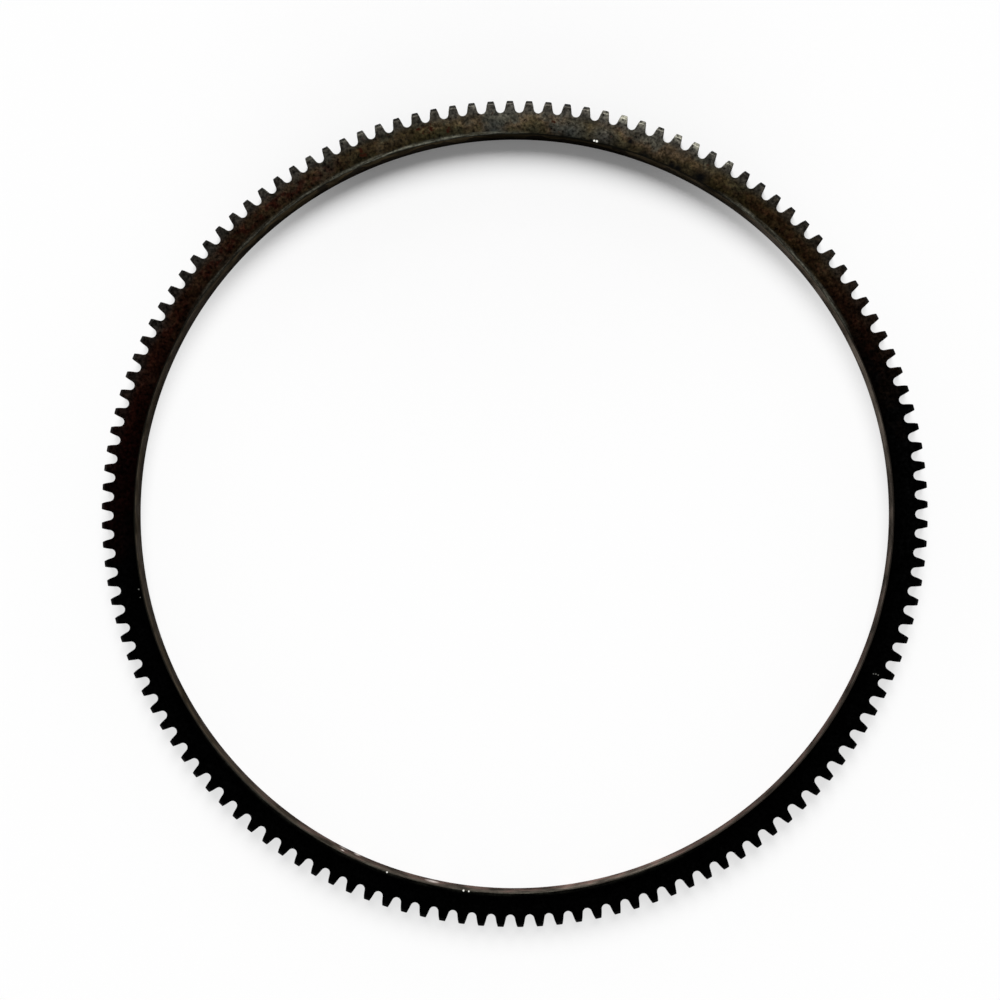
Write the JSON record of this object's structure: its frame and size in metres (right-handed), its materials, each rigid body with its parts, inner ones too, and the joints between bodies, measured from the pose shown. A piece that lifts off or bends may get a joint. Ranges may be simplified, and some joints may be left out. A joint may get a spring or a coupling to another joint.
{
  "type": "ring gear",
  "caption": "Flat steel starter ring gear with spur teeth round its rim and a wide plain bore, shrunk onto a flywheel's edge so that a starter pinion can turn it.",
  "frame": {"origin": "centre of the bore in the plane of the rear face, on which the ring lies", "axes": "+Z along the bore axis towards the bevelled front face, +X through the middle of a tooth"},
  "size_m": [0.3374, 0.3374, 0.01],
  "materials": {
    "ring_steel": "heat-blackened and oiled steel with a brown rust bloom and bright worn edges"
  },
  "bodies": {
    "root": {"ring_gear": "ring_steel"}
  },
  "joints": []
}
